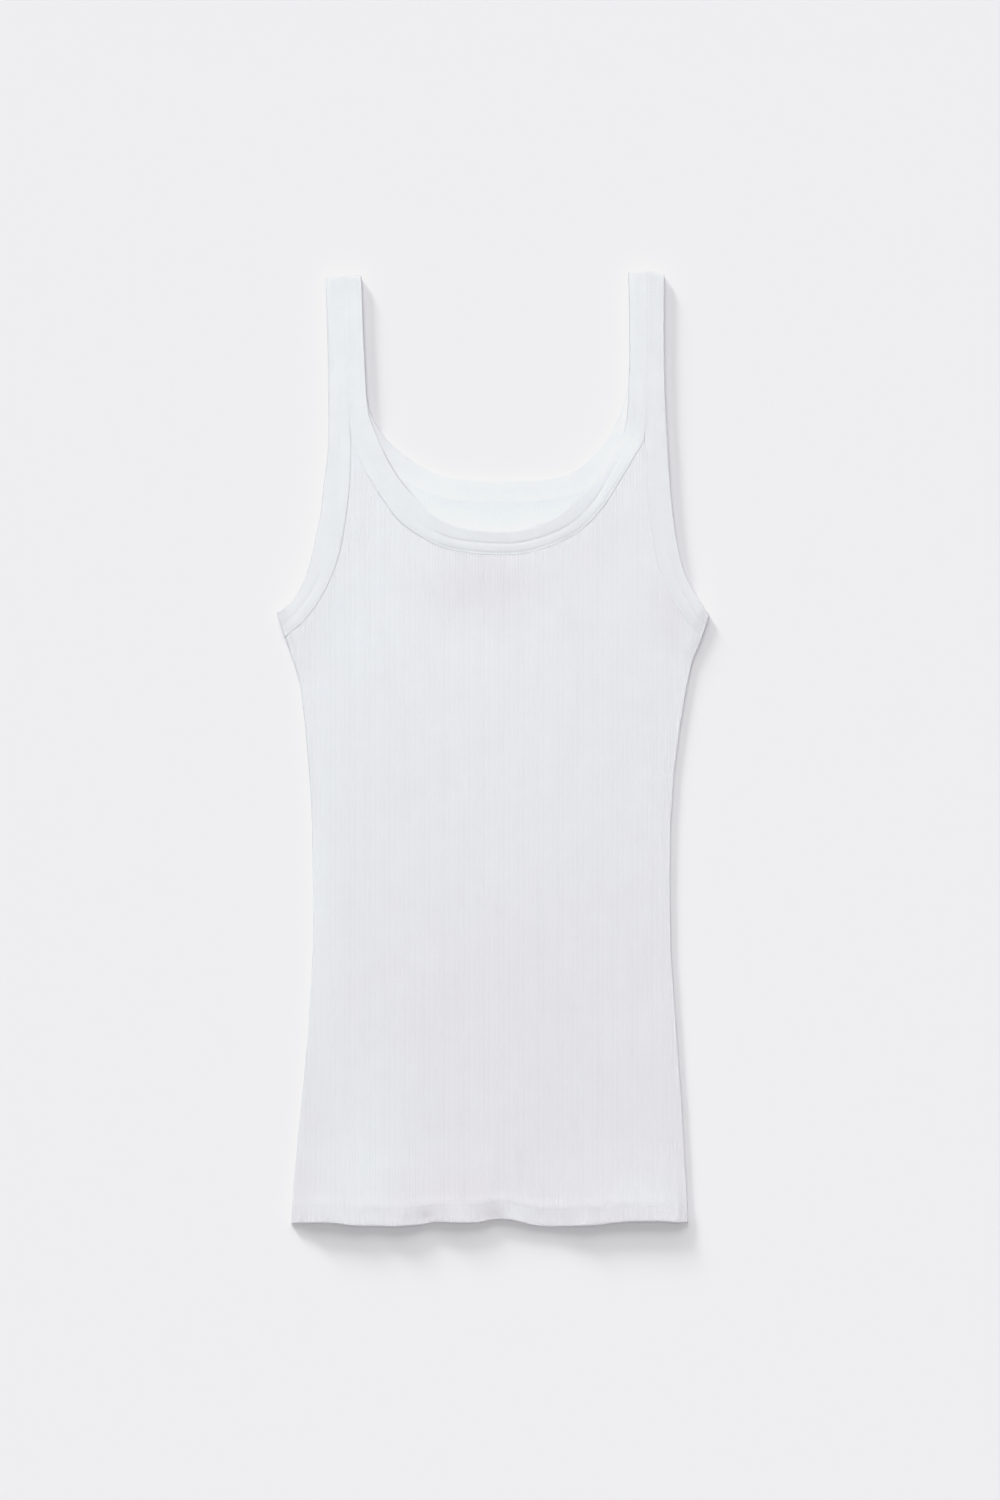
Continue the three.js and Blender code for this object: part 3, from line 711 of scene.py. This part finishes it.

# Painted light and shade on the binding: lighter as it climbs on the right; its reverse painted darker
# towards the straps and darker still beside the left strap, where the strap's shadow falls; and painted
# shade along the front's folded edge beside the left strap.
right_rise = on_front * ease(45, 72, edge_x) * (1 - on_strap(edge_y))
reverse_painted_shade = 0.35 * ease(-42, -62, edge_x) + 0.8 * ease(-56, -76, edge_x)
reverse_painted_shade = 0.2 * ease(20, 60, np.abs(edge_x)) + reverse_painted_shade * (1 - on_strap(edge_y - 20))
neck_tone = RIGHT_SIDE_TONE + 0.4 * right_rise
neck_tone += (REVERSE_TONE - reverse_painted_shade - neck_tone) * ease(0.3, -0.3, neck_rings[2][:, 2])
edge_shade = 1.5 * on_front * ease(-75, -68, edge_x) * (1 - ease(-57, -50, edge_x))
neck_tone = neck_tone[:, None] - edge_shade[:, None] * (1 - ease(0.5, 1.1, from_edge))
neck_tape = binding_mesh("neck_tape", points, along, from_edge, neck_tone, True, binding_knit)
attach(neck_tape, "root")
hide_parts("neck_binding")

# THE ARMHOLE BINDINGS
# An open strip along each armhole: from the side seam up the front, along the outer half of the strap,
# over the shoulder, and down the back to the side seam, where its cut ends are sewn in.
def armhole_rings(rows, draw):
    """A whole armhole binding's cross lines, from the front's side seam to the back's."""
    front = turned(layer_rings(rows, np.maximum, level(BINDING + GAP), 1.0, draw))
    back = layer_rings(rows, np.maximum, level(BINDING), -1.0, draw)
    fold = shoulder_rings(front[0][-1], front[1][-1], back[0][0], back[1][0])
    return joined_rings(front, fold, back)


END_REACH = 9
END_PRESS = 0.38
armhole_ringsets = []
# The right armhole binding is painted darker than the left, as painted shade on the side away from the
# light.
for side, rows, length, draw, sunk, painted_light_offset in (
    ("left", LEFT_ARMHOLE, 0.51, (0.09, 0.09), 0.28, 0.0),
    ("right", RIGHT_ARMHOLE, 0.51, (0.02, 0.02), 0.1, -0.16),
):
    rings = armhole_rings(rows, draw)
    count = len(rings[0])
    rise = rings[0][:, 1]
    depth = PINCH + 0.2 * (1 - ease(95, 150, rise))
    drop = SEAM_DROP + sunk * (1 - on_strap(rise))
    wander = 0.07 * np.sin(np.arange(count) / 6.1 + len(side)) * np.sin(np.arange(count) / 15.0)
    to_start = lengths((rings[0] + rings[1]) / 2)
    to_end = np.minimum(to_start, to_start[-1] - to_start)
    press = 1 - END_PRESS * (1 - ease(0, END_REACH, to_end))
    points, along, from_edge = binding_points(rings, depth, drop, 0 * rise, 0 * rise, wander, press)
    tone = np.full(count, RIGHT_SIDE_TONE + painted_light_offset)
    tape = binding_mesh(side + "_armhole_tape", points, along, from_edge, tone, False, binding_knit)
    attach(tape, "root")
    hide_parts(side + "_armhole_binding")
    armhole_ringsets.append((side, rings, depth, drop, 0 * rise, press))

# THE STITCHING
# Straight rows of white cotton thread, left by twin needles: two along each binding and two along the
# hem. Each stitch is a short round thread whose ends dip into the cloth.
THREAD = 0.15
STITCH = 2.6
STITCH_GAP = 0.35
STITCH_RINGS = 7
STITCH_SIDES = 6
thread_cotton = knit_material(
    "thread_cotton", (0.84, 0.85, 0.87), (0.8, 0.81, 0.84), 0.4 * MM, 0.4 * MM, "Object", 0.03 * MM
)


def stitches(name, lines):
    """Rows of stitches along lines of points and outward directions: each one a six-sided thread, arched
    along its length and closed to a point at both ends."""
    rings = np.linspace(-1, 1, STITCH_RINGS)
    around = np.arange(STITCH_SIDES) * 2 * np.pi / STITCH_SIDES
    girth = np.sqrt(np.maximum(0, 1 - rings**4)) * THREAD
    girth[[0, -1]] = THREAD * 0.1
    half = (STITCH - STITCH_GAP) / 2
    everything, faces, offset = [], [], 0
    for line, outward in lines:
        along = lengths(line)
        middles = np.arange(STITCH / 2, along[-1] - STITCH / 2, STITCH)
        places = middles[:, None] + rings * half

        def at(s, values):
            return np.stack([np.interp(s, along, values[:, k]) for k in range(3)], -1)

        centre = at(places, line)
        up = at(places, outward)
        up /= np.linalg.norm(up, axis=-1, keepdims=True)
        ahead = at(places + 0.2, line) - at(places - 0.2, line)
        ahead /= np.linalg.norm(ahead, axis=-1, keepdims=True)
        sideways = np.cross(ahead, up)
        arch = (THREAD * 0.9 - 1.6 * THREAD * rings**4)[None, :, None]
        circle = (
            np.cos(around)[:, None] * sideways[:, :, None] + np.sin(around)[:, None] * up[:, :, None]
        ) * girth[None, :, None, None]
        points = centre[:, :, None] + up[:, :, None] * arch[..., None] + circle
        everything.append(points.reshape(-1, 3))
        index = offset + np.arange(points[..., 0].size).reshape(points.shape[:3])
        offset += index.size
        here, there = index[:, :-1], index[:, 1:]
        sides = np.stack([here, np.roll(here, -1, axis=2), np.roll(there, -1, axis=2), there], -1)
        faces += sides.reshape(-1, 4).tolist() + index[:, 0, ::-1].tolist() + index[:, -1].tolist()
    mesh = bpy.data.meshes.new(name)
    mesh.from_pydata((np.vstack(everything) * MM).tolist(), [], faces)
    face_outward(mesh)
    piece = new_object(name, mesh, thread_cotton)
    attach(piece, "root")
    return piece


def needle_lines(rings, depth, drop, lift, press):
    """The two needle lines of a binding: the outer face at a fixed distance from the seam, and pressed
    into the cloth underneath, where the garment lies on them."""
    edge, seam, outward = rings
    width = np.linalg.norm(edge - seam, axis=1)[:, None]
    lines = []
    for needle in NEEDLES:
        height = outer_height(np.full_like(width, needle), width - needle, depth[:, None], drop[:, None])
        sunk_in = 2 * THREAD * np.maximum(0, -outward[:, 2:])
        height = height + lift[:, None] * needle / width - sunk_in
        line = seam + (edge - seam) * needle / width + outward * height
        line[:, 2] *= press
        lines.append((line, outward))
    return lines


neck_loop = tuple(np.vstack([line, line[:1]]) for line in neck_rings)
neck_shape = [np.append(line, line[0]) for line in (neck_depth, neck_drop, neck_lift, neck_press)]
stitches("neck_stitches", needle_lines(neck_loop, *neck_shape))
for side, rings, *shape in armhole_ringsets:
    stitches(side + "_armhole_stitches", needle_lines(rings, *shape))

hem_lines = []
for needle in HEM_NEEDLES:
    row_height = above_edge - needle
    pick = np.abs(row_height).argmin(axis=0)
    columns = np.arange(x.shape[1])
    needle_y = y[pick, columns] - row_height[pick, columns]
    line = np.column_stack([x[pick, columns], needle_y, outside_z[pick, columns]])
    keep = np.concatenate([[True], np.diff(line[:, 0]) > 0.1])
    line = line[keep][2:-2:2]
    hem_lines.append((line, np.tile([0.0, 0.0, 1.0], (len(line), 1))))
stitches("hem_stitches", hem_lines)

# THE SURFACE AND THE LIGHT
# A pale, even surface; soft light from above and from the upper left, and a wide fill from all round. The
# lamps that draw the shadows shine mostly on the surface, and softer ones on the garment alone.
SURFACE_REACH = 4.0
SURFACE_DROP = 0.05 * MM
corners = np.array([(-1, -1), (1, -1), (1, 1), (-1, 1)]) * SURFACE_REACH
floor_mesh = bpy.data.meshes.new("surface")
floor_mesh.from_pydata([(*corner, -SURFACE_DROP) for corner in corners.tolist()], [], [(0, 1, 2, 3)])
paper = bpy.data.materials.new("paper")
paper.use_nodes = True
paper_inputs = paper.node_tree.nodes["Principled BSDF"].inputs
paper_inputs["Base Color"].default_value = (0.86, 0.853, 0.876, 1)
paper_inputs["Roughness"].default_value = 1.0
paper_inputs["Specular IOR Level"].default_value = 0.0
surface = new_object("surface", floor_mesh, paper)

world = bpy.data.worlds.new("studio")
world.use_nodes = True
sky = world.node_tree.nodes["Background"].inputs
sky["Color"].default_value = (1.0, 1.0, 1.0, 1)
sky["Strength"].default_value = 0.147
bpy.context.scene.world = world


def sun(name, strength, colour, across, up, elevation, spread, lit):
    """A distant soft lamp: across and up say where it comes from in plan, elevation how high it stands,
    and lit which objects it lights."""
    lamp = bpy.data.lights.new(name, "SUN")
    lamp.energy = strength
    lamp.color = colour
    lamp.angle = np.radians(spread)
    carrier = bpy.data.objects.new(name, lamp)
    plan = np.hypot(across, up)
    direction = (across / plan, up / plan, np.tan(np.radians(elevation)))
    carrier.rotation_euler = Vector(direction).to_track_quat("Z", "Y").to_euler()
    carrier.light_linking.receiver_collection = lit
    bpy.context.scene.collection.objects.link(carrier)


def lit_group(name, members):
    group = bpy.data.collections.new(name)
    for member in members:
        group.objects.link(member)
    return group


WHITE = (1.0, 1.0, 1.0)
garment = [piece for piece in bpy.context.scene.objects if piece.type == "MESH" and piece is not surface]
on_surface = lit_group("lit_surface", [surface])
on_garment = lit_group("lit_garment", garment)
for name, strength, shared, across, up, elevation, spread in (
    ("top_light", 1.63, 0.25, -0.1, 1.0, 32, 38),
    ("left_light", 3.30, 0.12, -0.51, 0.86, 12.7, 11),
):
    sun(name + "_shared", strength * shared, WHITE, across, up, elevation, spread, None)
    sun(name + "_surface", strength * (1 - shared), WHITE, across, up, elevation, spread, on_surface)
sun("overhead", 1.10, WHITE, -0.1, 0.3, 86, 40, None)
sun("garment_light", 0.94, (1.0, 0.922, 0.965), -0.35, 0.85, 68, 44, on_garment)
sun("side_fill", 0.3, WHITE, 1.0, -0.15, 20, 60, on_garment)

window = bpy.data.lights.new("window", "AREA")
window.shape = "DISK"
window.size = 0.3
window.energy = 1.97
window.color = (0.63, 1.0, 0.9)
window_stand = bpy.data.objects.new("window", window)
window_stand.location = (-0.15, 0.45, 0.9)
window_stand.rotation_euler = Vector(window_stand.location).to_track_quat("Z", "Y").to_euler()
window_stand.light_linking.receiver_collection = on_garment
bpy.context.scene.collection.objects.link(window_stand)

# THE CAMERA
# Straight above, square to the garment, at the photograph's framing. The view keeps its tones up to a
# shoulder near white, where the brightest ones are held back.
PIXEL = 0.65
PHOTO_HEIGHT = 1500 * PIXEL * MM
MIDTONE = 0.44
SHOULDER = 0.885
WHITEST = 0.905
camera_data = bpy.data.cameras.new("above")
camera_data.lens = 100.0
camera_data.sensor_width = 36.0
camera = bpy.data.objects.new("above", camera_data)
camera.location = (4.55 * MM, -1.46 * MM, PHOTO_HEIGHT * camera_data.lens / camera_data.sensor_width)
bpy.context.scene.collection.objects.link(camera)
bpy.context.scene.camera = camera
view = bpy.context.scene.view_settings
view.view_transform = "Standard"
view.use_curve_mapping = True
shoulder = view.curve_mapping.curves[3]
shoulder.points[0].location = (0.0, 0.0)
shoulder.points[1].location = (1.0, WHITEST)
shoulder.points.new(MIDTONE, MIDTONE)
shoulder.points.new(SHOULDER, SHOULDER)
for point in shoulder.points:
    point.handle_type = "VECTOR"
view.curve_mapping.update()
